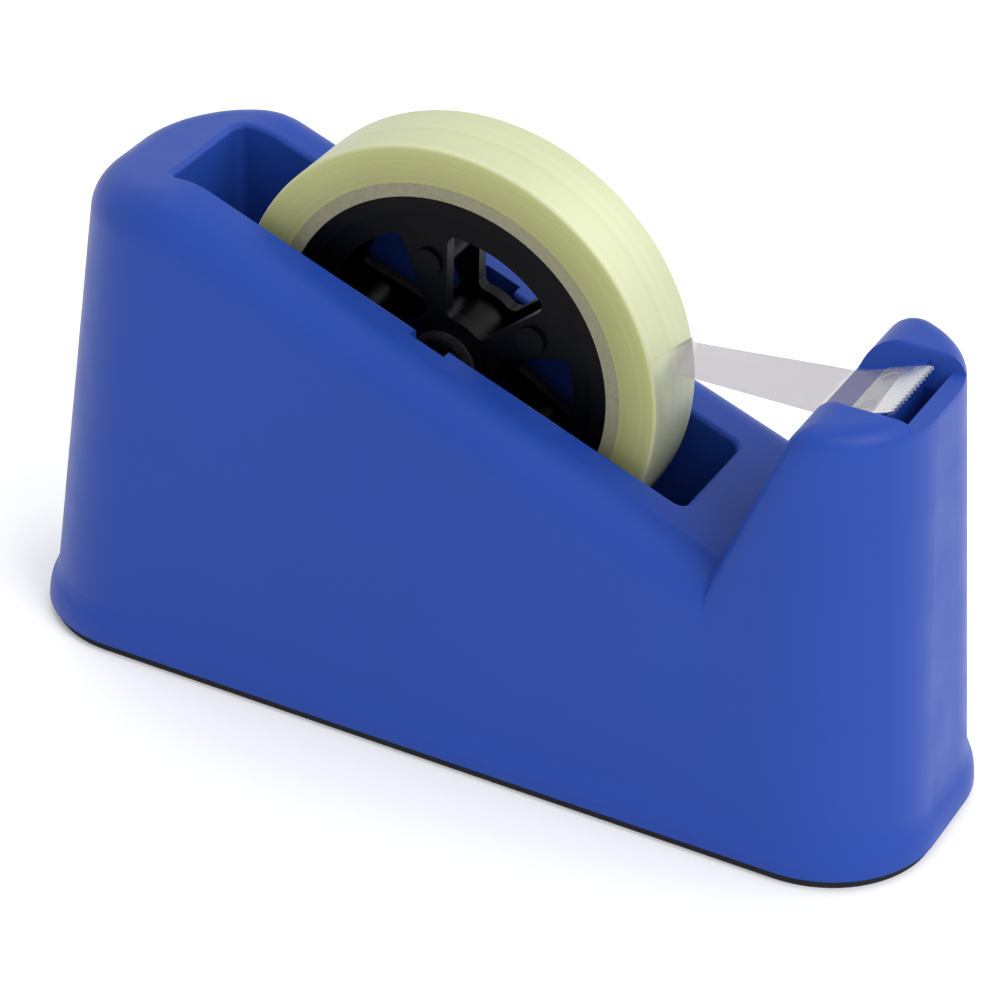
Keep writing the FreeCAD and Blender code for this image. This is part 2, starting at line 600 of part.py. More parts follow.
# ---- hub and axle --------------------------------------------------------------------------
def hub_window():
    """One window of the hub web, as a solid through the whole width."""
    middle = WINDOW_FIRST_ANGLE
    sector = ring(WINDOW_OUTER_RADIUS, WINDOW_INNER_RADIUS, -HUB_WIDTH, HUB_WIDTH)
    reach = 2 * HUB_RADIUS
    left = around_axle(middle + WINDOW_ANGLE / 2, reach)
    right = around_axle(middle - WINDOW_ANGLE / 2, reach)
    wedge = side_polygon([(AXLE_X, AXLE_HEIGHT), right, left], HUB_WIDTH)
    window = sector.common(wedge)
    along = [e for e in window.Edges if abs(e.Vertexes[0].Y - e.Vertexes[-1].Y) > HUB_WIDTH]
    return window.makeFillet(WINDOW_CORNER_ROUND, along)


def turned(shape, angle):
    """A copy turned about the axle."""
    copy = shape.copy()
    copy.rotate(Vector(AXLE_X, 0, AXLE_HEIGHT), Y_AXIS, angle)
    return copy


def hub_screw_places():
    """Screws sit on the spokes, half way between two windows."""
    step = 360.0 / WINDOW_COUNT
    return [around_axle(WINDOW_FIRST_ANGLE + step * (i + 0.5), HUB_SCREW_CIRCLE) for i in range(WINDOW_COUNT)]


def hub_half(side):
    """One moulded half of the hub; side is -1 for the near half and +1 for the far half."""
    outer_y = HUB_WIDTH / 2
    joint_y = HUB_SPLIT_GAP / 2
    rim = ring(HUB_RADIUS, HUB_RADIUS - HUB_RIM_WALL, joint_y, outer_y)
    web_y = outer_y - HUB_WEB_SETBACK
    web = cylinder_y(HUB_RADIUS - HUB_RIM_WALL, web_y - HUB_WEB_THICKNESS, web_y)
    half = rim.fuse(web).fuse(cylinder_y(BUSH_HOUSING_RADIUS, joint_y, outer_y))
    for x, z in hub_screw_places():
        half = half.fuse(cylinder_y(HUB_SCREW_BOSS_RADIUS, joint_y, outer_y, x, z))
    window = hub_window()
    for i in range(WINDOW_COUNT):
        half = half.cut(turned(window, -i * 360.0 / WINDOW_COUNT))
    half = half.cut(cylinder_y(BUSH_RADIUS, 0.0, outer_y))
    for x, z in hub_screw_places():
        if side > 0:
            half = half.cut(cylinder_y(HUB_SCREW_RADIUS + SCREW_HOLE_PLAY, 0.0, outer_y, x, z))
            half = half.cut(cylinder_y(HUB_SCREW_HEAD_RADIUS + SCREW_HOLE_PLAY,
                                       outer_y - HUB_SCREW_HEAD_DEPTH, outer_y, x, z))
        else:
            half = half.cut(cylinder_y(HUB_SCREW_RADIUS, 0.0, HUB_SCREW_BITE, x, z))
    if side < 0:
        half = half.mirror(Vector(0, 0, 0), Y_AXIS)
    return half.removeSplitter()


def hub_screws():
    screws = []
    seat = HUB_WIDTH / 2 - HUB_SCREW_HEAD_DEPTH
    for x, z in hub_screw_places():
        shank = cylinder_y(HUB_SCREW_RADIUS, -HUB_SCREW_BITE, seat, x, z)
        head = cylinder_y(HUB_SCREW_HEAD_RADIUS, seat, HUB_WIDTH / 2, x, z)
        screws.append(shank.fuse(head))
    return Part.makeCompound(screws)


def hub_bushes():
    """Two flanged plain bearings, pressed into the hub from the outside."""
    bore = AXLE_RADIUS + BUSH_RUNNING_CLEARANCE
    flange_end = HUB_WIDTH / 2 + BUSH_FLANGE_THICKNESS
    far = cylinder_y(BUSH_RADIUS, HUB_SPLIT_GAP / 2, HUB_WIDTH / 2)
    far = far.fuse(cylinder_y(BUSH_FLANGE_RADIUS, HUB_WIDTH / 2, flange_end))
    far = far.cut(cylinder_y(bore, 0.0, flange_end))
    return Part.makeCompound([far, far.mirror(Vector(0, 0, 0), Y_AXIS)])


def clip_start():
    return HUB_WIDTH / 2 + BUSH_FLANGE_THICKNESS + CLIP_SIDE_CLEARANCE


def axle():
    half = WELL_HALF_WIDTH + GROOVE_DEPTH - AXLE_END_CLEARANCE
    rod = cylinder_y(AXLE_RADIUS, -half, half)
    ends = [e for e in rod.Edges if len(e.Vertexes) == 1]
    rod = rod.makeChamfer(AXLE_CHAMFER, ends)
    start = clip_start() - CLIP_GROOVE_PLAY
    end = clip_start() + CLIP_THICKNESS + CLIP_GROOVE_PLAY
    groove = ring(AXLE_RADIUS + 1, CLIP_GROOVE_RADIUS, start, end)
    return rod.cut(groove).cut(groove.mirror(Vector(0, 0, 0), Y_AXIS))


def axle_clips():
    """Two open retaining clips that keep the hub on the axle."""
    start = clip_start()
    end = start + CLIP_THICKNESS
    clip = ring(CLIP_RADIUS, CLIP_GROOVE_RADIUS, start, end)
    mouth = box(AXLE_X - CLIP_MOUTH_HALF, AXLE_X + CLIP_MOUTH_HALF, start, end,
                AXLE_HEIGHT - CLIP_RADIUS, AXLE_HEIGHT - CLIP_GROOVE_RADIUS / 2)
    clip = clip.cut(mouth)
    return Part.makeCompound([clip, clip.mirror(Vector(0, 0, 0), Y_AXIS)])


# ---- base ----------------------------------------------------------------------------------
def base_pad():
    proud = SKIRT_PROUD - PAD_INSET
    z = PAD_THICKNESS
    return rounded_plan(rear_x(z) - proud, front_x(z) + proud, half_width(z) + proud,
                        REAR_CORNER_RADIUS + proud, FRONT_CORNER_RADIUS + proud, 0.0, z)


def base_plate():
    z0, z1 = PAD_THICKNESS, PLATE_TOP
    inset = WALL + PLATE_GAP
    plate = rounded_plan(rear_x(z1) + inset, front_x(z1) - inset, half_width(z1) - inset,
                         REAR_CORNER_RADIUS - inset, FRONT_CORNER_RADIUS - inset, z0, z1)
    for x, y in base_screw_places():
        plate = plate.cut(sunk_hole(x, y, BASE_SCREW_RADIUS, BASE_SCREW_HEAD_RADIUS))
    for x, y in weight_screw_places():
        plate = plate.cut(sunk_hole(x, y, WEIGHT_SCREW_RADIUS, WEIGHT_SCREW_HEAD_RADIUS))
    return plate


def sunk_hole(x, y, radius, head_radius):
    """Countersunk hole through the base plate, open downwards."""
    z0, z1 = PAD_THICKNESS, PLATE_TOP
    hole = cylinder_z(radius + SCREW_HOLE_PLAY, x, y, z0, z1)
    depth = head_radius - radius
    sink = cone_z(head_radius + SCREW_HOLE_PLAY, radius + SCREW_HOLE_PLAY, x, y, z0, z0 + depth)
    return hole.fuse(sink)


def sunk_screw(x, y, radius, head_radius, length):
    z0 = PAD_THICKNESS
    depth = head_radius - radius
    return cylinder_z(radius, x, y, z0, z0 + length).fuse(cone_z(head_radius, radius, x, y, z0, z0 + depth))


def base_screws():
    return Part.makeCompound([sunk_screw(x, y, BASE_SCREW_RADIUS, BASE_SCREW_HEAD_RADIUS, BASE_SCREW_LENGTH)
                              for x, y in base_screw_places()])


def middle_weight():
    """Rear end, front end, half width and height of the ballast block under the well."""
    height = WELL_FLOOR_HEIGHT - WELL_WALL - MIDDLE_WEIGHT_HEADROOM - PLATE_TOP
    half = BASE_SCREW_Y - BASE_BOSS_RADIUS - WEIGHT_GAP
    return WELL_REAR_X + MIDDLE_WEIGHT_INSET, WELL_FRONT_X - MIDDLE_WEIGHT_INSET, half, height


def front_weight():
    rear = WELL_FRONT_X + FRONT_WEIGHT_FROM_WELL
    return rear, rear + FRONT_WEIGHT_LENGTH, FRONT_WEIGHT_HALF_WIDTH, FRONT_WEIGHT_HEIGHT


def rear_weight():
    front = WELL_REAR_X - REAR_WEIGHT_FROM_WELL
    return front - REAR_WEIGHT_LENGTH, front, REAR_WEIGHT_HALF_WIDTH, REAR_WEIGHT_HEIGHT


def weight_screws_of(weight):
    """Two screws along the long middle block, or across one of the short end blocks."""
    x0, x1, half, height = weight
    middle = (x0 + x1) / 2
    if x1 - x0 > 2 * half:
        return [(x0 + half, 0.0), (x1 - half, 0.0)]
    return [(middle, -half / 2), (middle, half / 2)]


def weight_screw_places():
    weights = (middle_weight(), front_weight(), rear_weight())
    return [place for weight in weights for place in weight_screws_of(weight)]


def ballast(weight):
    x0, x1, half, height = weight
    block = rounded_plan(x0, x1, half, WEIGHT_CORNER_ROUND, WEIGHT_CORNER_ROUND, PLATE_TOP, PLATE_TOP + height)
    tip = PAD_THICKNESS + WEIGHT_SCREW_LENGTH
    for x, y in weight_screws_of(weight):
        block = block.cut(cylinder_z(WEIGHT_SCREW_RADIUS, x, y, PLATE_TOP, tip))
    return block


def ballast_screws():
    return Part.makeCompound([sunk_screw(x, y, WEIGHT_SCREW_RADIUS, WEIGHT_SCREW_HEAD_RADIUS,
                                         WEIGHT_SCREW_LENGTH) for x, y in weight_screw_places()])


# ---- export --------------------------------------------------------------------------------
PARTS = {
    "shell": shell(),
    "base_plate": base_plate(),
    "base_pad": base_pad(),
    "base_screws": base_screws(),
    "ballast_middle": ballast(middle_weight()),
    "ballast_front": ballast(front_weight()),
    "ballast_rear": ballast(rear_weight()),
    "ballast_screws": ballast_screws(),
    "cutter_blade": blade(),
    "blade_screws": blade_screws(),
    "axle": axle(),
    "axle_clips": axle_clips(),
    "hub_near": hub_half(-1),
    "hub_far": hub_half(1),
    "hub_bushes": hub_bushes(),
    "hub_screws": hub_screws(),
    "tape_core": tape_core(),
    "tape_roll": tape_roll(),
    "tape_strip": tape_strip(),
}

os.makedirs("parts", exist_ok=True)
for name, solid in PARTS.items():
    solid.exportStep("parts/" + name + ".step")
    size = solid.BoundBox
    print(name, len(solid.Solids), round(solid.Volume), solid.isValid(),
          [round(v, 1) for v in (size.XMin, size.XMax, size.YMin, size.YMax, size.ZMin, size.ZMax)])
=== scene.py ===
# %% [markdown]
# # A desk tape dispenser, finished in Blender
#
# The construction model of the dispenser is loaded first and stays where it is.
# It already has the shell, the axle, the hub, the cutter and the base at their real size.
# This script adds what a solid model is not made for: small ripples in the wound tape,
# a thin free end of film, and a finish for every piece. Lengths are in metres. The frame
# has +X towards the cutter, +Y across to the far side and +Z up, with the table at zero.

# %% Load the frame
import math

import bpy
import numpy as np
from mathutils import Matrix, Vector


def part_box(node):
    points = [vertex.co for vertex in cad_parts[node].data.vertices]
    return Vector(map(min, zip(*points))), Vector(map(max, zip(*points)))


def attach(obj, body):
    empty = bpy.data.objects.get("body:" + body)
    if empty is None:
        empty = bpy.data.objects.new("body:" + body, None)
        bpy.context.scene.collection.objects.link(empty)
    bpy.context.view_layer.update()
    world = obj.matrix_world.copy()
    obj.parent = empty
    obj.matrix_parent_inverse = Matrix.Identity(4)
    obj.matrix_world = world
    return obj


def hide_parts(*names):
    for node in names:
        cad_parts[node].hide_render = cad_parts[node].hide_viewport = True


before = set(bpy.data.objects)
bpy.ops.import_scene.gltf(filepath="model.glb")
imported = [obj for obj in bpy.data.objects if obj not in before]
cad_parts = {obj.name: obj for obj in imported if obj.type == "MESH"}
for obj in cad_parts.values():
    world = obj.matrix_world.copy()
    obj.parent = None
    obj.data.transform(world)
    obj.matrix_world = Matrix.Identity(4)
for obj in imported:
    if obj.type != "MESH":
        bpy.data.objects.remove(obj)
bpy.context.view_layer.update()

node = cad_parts
MM = 0.001

# %% [markdown]
# ## Camera
#
# The camera looks down on the near side from the cutter's end. A long lens keeps the
# upright walls almost parallel, as a product picture does. Its place is given by two
# angles and a distance, and two short steps, sideways and up, bring the object to the
# middle. Its three axes are worked out from the same angles and a slight tilt, because
# that is easier to adjust than a location and three rotations.

# %% Camera
AZIMUTH = math.radians(27.251)
ELEVATION = math.radians(32.801)
TILT = math.radians(1.658)
DISTANCE = 0.868279
SIDE_STEP = -0.000709
RISE = 0.040466
FOCAL_LENGTH = 141.18
SENSOR = 36.0
NEAR_LIMIT = 0.05
FAR_LIMIT = 20.0


def direction(azimuth, elevation):
    """Unit vector from the object towards a place at two angles: x is the sine of the
    azimuth, y is minus its cosine, both times the cosine of the elevation, and z is the
    sine of the elevation."""
    return Vector((math.sin(azimuth) * math.cos(elevation),
                   -math.cos(azimuth) * math.cos(elevation), math.sin(elevation)))


def add_object(name, data):
    """Object that holds a camera, a light or a mesh, put in the scene at the origin."""
    made = bpy.data.objects.new(name, data)
    bpy.context.scene.collection.objects.link(made)
    return made


back = direction(AZIMUTH, ELEVATION)
level = Vector((math.cos(AZIMUTH), math.sin(AZIMUTH), 0.0))
upright = back.cross(level)
right = math.cos(TILT) * level + math.sin(TILT) * upright
up = math.cos(TILT) * upright - math.sin(TILT) * level

camera_data = bpy.data.cameras.new("camera")
camera_data.lens = FOCAL_LENGTH
camera_data.sensor_width = SENSOR
camera_data.clip_start = NEAR_LIMIT
camera_data.clip_end = FAR_LIMIT
camera = add_object("camera", camera_data)
place = back * DISTANCE + level * SIDE_STEP + upright * RISE
turn = Matrix((right, up, back)).transposed().to_4x4()
camera.matrix_world = Matrix.Translation(place) @ turn
bpy.context.scene.camera = camera
print("camera at", tuple(round(c, 3) for c in place))

# %% [markdown]
# ## Colours
#
# A shader counts light in even steps, and a screen does not: the middle of the screen's
# range is only about a fifth of the light. So a colour is written either as amounts of
# light, or as the screen colour that it should have in even white light, turned into
# amounts.

# %% Colours
def light(red, green, blue):
    """Shader colour from three amounts of light, from 0 to 1."""
    return red, green, blue, 1.0


def screen(red, green, blue):
    """Shader colour from a screen colour of 0 to 255. With c as its share of 255, the
    amount is ((c + 0.055) / 1.055) to the power of 2.4, which is the curve of screens
    for all but the darkest colours."""
    return light(*(((c / 255 + 0.055) / 1.055) ** 2.4 for c in (red, green, blue)))


print("half of the screen's range is", round(screen(128, 128, 128)[0], 3), "of the light")

# %% [markdown]
# ## Node helpers
#
# A material is a small network of nodes. These helpers make one node each and join it
# to what feeds it, so that a finish further down reads as a short recipe. Patterns read
# the Object coordinates, which are metres in the frame, so a grain keeps its real size
# on every piece and stays in place when the piece moves.

# %% Node helpers
class Network:
    """Short calls that add nodes to self.tree, the node tree of a material."""

    def fill(self, socket, value):
        """Joins another node's output to a socket, or sets the socket to a value."""
        if isinstance(value, bpy.types.NodeSocket):
            self.tree.links.new(value, socket)
        else:
            socket.default_value = value

    def add(self, kind, settings=None, **inputs):
        """Adds a node. Settings are its options. An input is called by its label, or by
        the letter i and its place in the list of inputs."""
        made = self.tree.nodes.new("ShaderNode" + kind)
        for option, choice in (settings or {}).items():
            setattr(made, option, choice)
        for label, value in inputs.items():
            self.fill(made.inputs[int(label[1:]) if label[1:].isdigit() else label], value)
        return made

    def vector(self, operation, first, second=(0.0, 0.0, 0.0), output="Vector"):
        """Vector arithmetic. The answer is a vector, or a number from the Value output."""
        return self.add("VectorMath", {"operation": operation}, i0=first, i1=second).outputs[output]

    def point(self, middle=(0.0, 0.0, 0.0), scale=(1.0, 1.0, 1.0)):
        """Object coordinates, measured from a middle, then scaled."""
        coordinates = self.add("TexCoord").outputs["Object"]
        return self.vector("MULTIPLY", self.vector("SUBTRACT", coordinates, middle), scale)


print("1 mm is", MM, "in Object coordinates")

# %% [markdown]
# ## Patterns
#
# Nothing real has one even colour. An image could give the variation, but it would need
# every piece unwrapped. Noise fills space instead, so it goes through any shape. Its
# values lie round a half and seldom leave the range from 0.3 to 0.7, so that range is
# what gets stretched.

# %% Patterns
NOISE_LOW = 0.3
NOISE_HIGH = 0.7


class Patterns(Network):
    """Noise, and what turns it into numbers and colours."""

    def noise(self, place, size, detail=3.0):
        """Soft noise from 0 to 1, with blobs of about the given size."""
        return self.add("TexNoise", Vector=place, Scale=1 / size, Detail=detail).outputs["Fac"]

    def lines(self, number, size, detail=2.0):
        """Noise along one number only, which draws lines across it."""
        return self.add("TexNoise", {"noise_dimensions": "1D"}, W=number, Scale=1 / size,
                        Detail=detail).outputs["Fac"]

    def spread(self, number, first, last, start=NOISE_LOW, end=NOISE_HIGH):
        """Goes evenly from first to last while the number goes from start to end."""
        return self.add("MapRange", i0=number, i1=start, i2=end, i3=first, i4=last).outputs[0]

    def blend(self, amount, first, second):
        """Goes from the first colour at 0 to the second at 1."""
        return self.add("Mix", {"data_type": "RGBA"}, i0=amount, i6=first, i7=second).outputs[2]


print("blobs of 1 mm need a noise scale of", round(1 / MM))

# %% [markdown]
# ## Finishes
#
# Most finishes here have the same three parts: a colour that drifts between two tones,
# a shine that is not quite even, and a fine relief. So a finish has one call for each
# part. A number that is the same all over goes straight on the shader. The loaded model
# brings plain materials of its own, so Blender adds .001 to a name that is taken. The
# first finish is the simplest one, the plain matt card that the dispenser stands on.

# %% Finishes
class Finish(Patterns):
    """One material, with calls that feed its shader."""

    def __init__(self, name, **sockets):
        """Makes the material. Sockets are inputs of its shader, with _ for a space."""
        self.material = bpy.data.materials.new(name)
        self.material.use_nodes = True
        self.tree = self.material.node_tree
        self.shader = self.tree.nodes["Principled BSDF"]
        for socket, value in sockets.items():
            self.feed(socket.replace("_", " "), value)

    def feed(self, socket, value):
        """Sets one input of the shader, or joins it to an output."""
        self.fill(self.shader.inputs[socket], value)

    def colour(self, pattern, first, second):
        """A colour that drifts between two tones with a pattern."""
        self.feed("Base Color", self.blend(self.spread(pattern, 0.0, 1.0), first, second))

    def roughness(self, pattern, low, high):
        """A shine that varies with a pattern."""
        self.feed("Roughness", self.spread(pattern, low, high))

    def relief(self, pattern, depth):
        """Raises the surface by depth metres where the pattern is 1."""
        self.feed("Normal", self.add("Bump", Height=pattern, Distance=depth).outputs["Normal"])


def paint(pieces, finish):
    """Gives CAD nodes, called by name, or new pieces one finish in place of their own."""
    for piece in pieces:
        piece = node[piece] if isinstance(piece, str) else piece
        piece.data.materials.clear()
        piece.data.materials.append(finish.material)
        print(finish.material.name, "on", piece.name)


card = Finish("pale_card", Roughness=0.9, Base_Color=light(0.97, 0.97, 0.97))
print("first finish:", card.material.name)

# %% [markdown]
# ## Grids and the floor
#
# Every new surface here is a grid of points in rows and columns. A piece could be shaped
# by hand from a plane or a cylinder, but points that come from a formula can be changed
# later by changing one number. Two helpers turn arrays into a piece. The floor is the
# smallest grid there is, with two rows of two points: one large pale card.

# %% Grids and the floor
FLOOR_HALF = 4.0


def surface(x, y, z):
    """Points from three arrays, each stretched to the shape of the whole grid."""
    return np.stack(np.broadcast_arrays(x, y, z), axis=-1)


def grid_mesh(name, points, closed_rows, closed_columns):
    """Piece from an array of points in rows and columns. Each point is joined to the
    next in its row and its column, and to the first again where the grid is closed."""
    rows, columns = points.shape[:2]
    i = np.arange(rows if closed_rows else rows - 1)[:, None]
    j = np.arange(columns if closed_columns else columns - 1)[None, :]
    row, next_row = i * columns, (i + 1) % rows * columns
    next_j = (j + 1) % columns
    faces = np.stack([row + j, row + next_j, next_row + next_j, next_row + j], axis=-1).reshape(-1, 4)
    mesh = bpy.data.meshes.new(name)
    mesh.from_pydata(points.reshape(-1, 3).tolist(), [], faces.tolist())
    mesh.polygons.foreach_set("use_smooth", np.ones(len(faces), bool))
    mesh.update()
    print("faces in", name + ":", len(faces))
    return add_object(name, mesh)


ends = np.array([-FLOOR_HALF, FLOOR_HALF])
floor = grid_mesh("floor", surface(ends[None, :], ends[:, None], 0.0), False, False)
paint([floor], card)

# %% [markdown]
# ## Room
#
# A white room lights the object evenly from all sides and fills every shadow. A picture
# of a real room could light it too, but plain white gives the calm shine that smooth
# plastic needs, and nothing has to be loaded.

# %% Room
ROOM_LIGHT = 0.93
world = bpy.data.worlds.new("studio")
world.use_nodes = True
background = world.node_tree.nodes["Background"]
background.inputs["Color"].default_value = light(1.0, 1.0, 1.0)
background.inputs["Strength"].default_value = ROOM_LIGHT
bpy.context.scene.world = world
bpy.context.scene.view_settings.view_transform = "Standard"
print("room light", ROOM_LIGHT)

# %% [markdown]
# ## Soft lights
#
# Three square panels stand round the object, all at one distance and of one size, so
# that only their direction and power differ. Lamps without a size would give hard
# shadows and small sharp glints. The key panel stands off the cutter's end and gives
# that corner its bright band, the back panel puts a sheen on the roll, and the top panel
# opens up the rim.

# %% Soft lights
PANEL_DISTANCE = 1.6
PANEL_SIZE = 0.9


def soft_panel(name, azimuth, elevation, power):
    """Square area light in a given direction, in degrees, that faces the object."""
    data = bpy.data.lights.new(name, "AREA")
    data.shape = "SQUARE"
    data.size = PANEL_SIZE
    data.energy = power
    panel = add_object(name, data)
    toward = direction(math.radians(azimuth), math.radians(elevation))
    panel.location = toward * PANEL_DISTANCE
    panel.rotation_mode = "QUATERNION"
    panel.rotation_quaternion = toward.to_track_quat("Z", "Y")
    print(name, "at", tuple(round(c, 2) for c in panel.location), "with", power, "W")


soft_panel("key_panel", azimuth=70.0, elevation=42.0, power=12.0)
soft_panel("back_panel", azimuth=145.0, elevation=33.0, power=4.5)
soft_panel("top_panel", azimuth=-120.0, elevation=65.0, power=3.5)

# %% [markdown]
# ## Blue shell
#
# The shell is one smooth moulding in a deep blue. Moulded plastic is never quite even:
# the colour drifts a little over the length, the shine varies, and a fine spark-eroded
# grain breaks it up. One pattern for all three would look printed on, so each has its
# own noise, at three very different sizes.

# %% Blue shell
blue = Finish("blue_plastic", Specular_IOR_Level=0.17)
drift = blue.noise(blue.point(), size=60 * MM, detail=2.0)
grain = blue.noise(blue.point(), size=0.35 * MM, detail=2.0)
blue.colour(drift, light(0.0133, 0.0490, 0.293), light(0.0143, 0.0520, 0.311))
blue.roughness(blue.noise(blue.point(), size=9 * MM), low=0.36, high=0.44)
blue.relief(grain, depth=0.012 * MM)
paint(["shell"], blue)

# %% [markdown]
# ## Section of the roll
#
# A roll of tape is hundreds of turns of film, and no roll is wound perfectly flat. A
# plain ring would do from far away, but its sides would look turned on a lathe. So the
# section of the roll is worked out first: two sides with small ripples, and two soft
# outer corners. The sizes come from the solid roll that the new one takes the place of.

# %% Section of the roll
roll_low, roll_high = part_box("tape_roll")
core_low, core_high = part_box("tape_core")
AXLE = Vector(((roll_low.x + roll_high.x) / 2, 0.0, (roll_low.z + roll_high.z) / 2))
TAPE_RADIUS = (roll_high.x - roll_low.x) / 2
TAPE_HALF = (roll_high.y - roll_low.y) / 2
CORE_RADIUS = (core_high.x - core_low.x) / 2
CORNER_RADIUS = 0.7 * MM
RIPPLE = 0.02 * MM
WAVES = ((23.0, 0.0, 1.0), (41.0, 1.0, 0.7), (67.0, 2.0, 0.5))  # pace, start and height of each
SIDE_STEPS = 70
CORNER_STEPS = 6


def roll_section():
    """Half the width and the radius at each point round the section. Each side is a line
    less a ripple, which grows as a sum of sine waves falls below its highest value, and
    a quarter circle rounds each outer corner."""
    depth = np.linspace(0.0, 1.0, SIDE_STEPS)
    radius = CORE_RADIUS + depth * (TAPE_RADIUS - CORNER_RADIUS - CORE_RADIUS)
    waves = sum(height * np.sin(depth * pace + start) for pace, start, height in WAVES)
    highest = sum(height for pace, start, height in WAVES)
    side = TAPE_HALF - RIPPLE * (highest - waves) / 2
    angle = np.linspace(0.0, math.pi / 2, CORNER_STEPS + 1)[1:]
    round_y = side[-1] - CORNER_RADIUS + CORNER_RADIUS * np.cos(angle)
    round_r = TAPE_RADIUS - CORNER_RADIUS + CORNER_RADIUS * np.sin(angle)
    far = np.stack([np.concatenate([side, round_y]), np.concatenate([radius, round_r])], axis=-1)
    near = far[::-1] * (-1, 1)
    return np.concatenate([far, near])


section = roll_section()
print("axle at", tuple(round(c, 4) for c in AXLE), "and", len(section), "points in the section")

# %% [markdown]
# ## Wound tape
#
# The section is now carried round the axle. Blender's Spin tool would do that as well,
# but a formula gives all the points at once and leaves no seam to close afterwards.

# %% Wound tape
ROUND_STEPS = 360


def swept_ring(name, profile, steps):
    """Every point of the profile goes round the axle: x and z are the radius times the
    cosine and sine of the angle, and y stays."""
    angle = np.linspace(0.0, 2 * math.pi, steps, endpoint=False)[:, None]
    y, r = profile[:, 0], profile[:, 1]
    return grid_mesh(name, surface(AXLE.x + r * np.cos(angle), y, AXLE.z + r * np.sin(angle)), True, True)


roll = swept_ring("wound_tape", section, ROUND_STEPS)
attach(roll, "wheel")
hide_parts("tape_roll")

# %% [markdown]
# ## Finish of the wound tape
#
# From the side, the edges of the turns show as fine rings, darker towards the core. The
# outside is paler and smoother. The turns act like the grooves of a record, so light
# draws out into a streak across them. Real grooves would need millions of faces, so the
# streak comes from an anisotropic shine, with a tangent that runs round the axle.

# %% Finish of the wound tape
OUTER_EDGE = 0.8 * MM
OUTER_SKIN = 0.05 * MM
RING_SHARE = 0.3
SIDE_ROUGHNESS = 0.7
OUTSIDE_ROUGHNESS = 0.28
film = Finish("wound_film", Specular_IOR_Level=1.0, Anisotropic=1.0)
from_axle = film.point(middle=tuple(AXLE))
outward = film.vector("MULTIPLY", from_axle, (1.0, 0.0, 1.0))
radius = film.vector("LENGTH", outward, output="Value")
width = film.add("SeparateXYZ", i0=from_axle).outputs["Y"]
wound = film.spread(radius, 0.0, 1.0, start=CORE_RADIUS, end=TAPE_RADIUS)
outside = film.spread(radius, 0.0, 1.0, start=TAPE_RADIUS - OUTER_EDGE, end=TAPE_RADIUS - OUTER_SKIN)
broad_rings = film.lines(radius, size=1.4 * MM)
fine_rings = film.lines(radius, size=0.12 * MM)
bands = film.lines(width, size=2.5 * MM)

side_colour = film.blend(wound, screen(134, 136, 84), screen(169, 173, 110))
for rings, ring_colour in ((broad_rings, screen(172, 175, 114)), (fine_rings, screen(138, 142, 82))):
    side_colour = film.blend(film.spread(rings, 0.0, RING_SHARE), side_colour, ring_colour)
outside_colour = film.blend(film.spread(bands, 0.0, 1.0), screen(175, 181, 138), screen(183, 189, 148))
film.feed("Base Color", film.blend(outside, side_colour, outside_colour))
film.feed("Roughness", film.spread(outside, SIDE_ROUGHNESS, OUTSIDE_ROUGHNESS, start=0.0, end=1.0))
film.relief(fine_rings, depth=0.02 * MM)
turned = film.vector("CROSS_PRODUCT", outward, (0.0, 1.0, 0.0))
to_world = {"vector_type": "VECTOR", "convert_from": "OBJECT", "convert_to": "WORLD"}
film.feed("Tangent", film.add("VectorTransform", to_world, Vector=turned).outputs["Vector"])
paint([roll], film)

# %% [markdown]
# ## Smooth paths
#
# A strip of film bends in smooth curves and has straight runs between them. A Bezier
# curve could follow it, but its handles are hard to set by formula. A list of corners
# that are cut round is simpler, and points at even distances along it make even faces.

# %% Smooth paths
CORNER_SHARE = 0.25
CORNER_CUTS = 4


def rounded_path(points):
    """Cuts each corner of a path at a share of its two sides, again and again, which
    tends to a smooth curve. The first and last points stay."""
    for _ in range(CORNER_CUTS):
        start, end = points[:-1], points[1:]
        step = (end - start) * CORNER_SHARE
        cut = np.stack([start + step, end - step], axis=1).reshape(-1, 2)
        points = np.concatenate([points[:1], cut[1:-1], points[-1:]])
    return points


def even_steps(path, count):
    """The same path with points at equal distances along it, and its length."""
    run = np.concatenate([[0.0], np.cumsum(np.linalg.norm(np.diff(path, axis=0), axis=1))])
    at = np.linspace(0.0, run[-1], count)
    return np.stack([np.interp(at, run, line) for line in path.T], axis=-1), run[-1]


print("every corner is cut", CORNER_CUTS, "times")

# %% [markdown]
# ## Edges of the free end
#
# The film comes over the top of the roll, peels away from it, runs to the sloping
# platform and is pressed down there. A simulated cloth would sag, but this strip is held
# tight between the roll and the cutter, so each edge is a plain path. It is pulled a
# little askew: the near edge leaves the roll higher than the far edge and ends further on.

# %% Edges of the free end
PLATFORM_X = 74.16 * MM
PLATFORM_Z = 98.1 * MM
PLATFORM_SLOPE = 0.36
LIFT = 0.08 * MM
ROLL_OVERLAP = np.array([1.5, 1.0, 0.5, 0.0])  # degrees round the axle, above the peel line
BEND_BEFORE = 1.5 * MM
BEND_AFTER = 2.0 * MM
EDGE_STEPS = 160


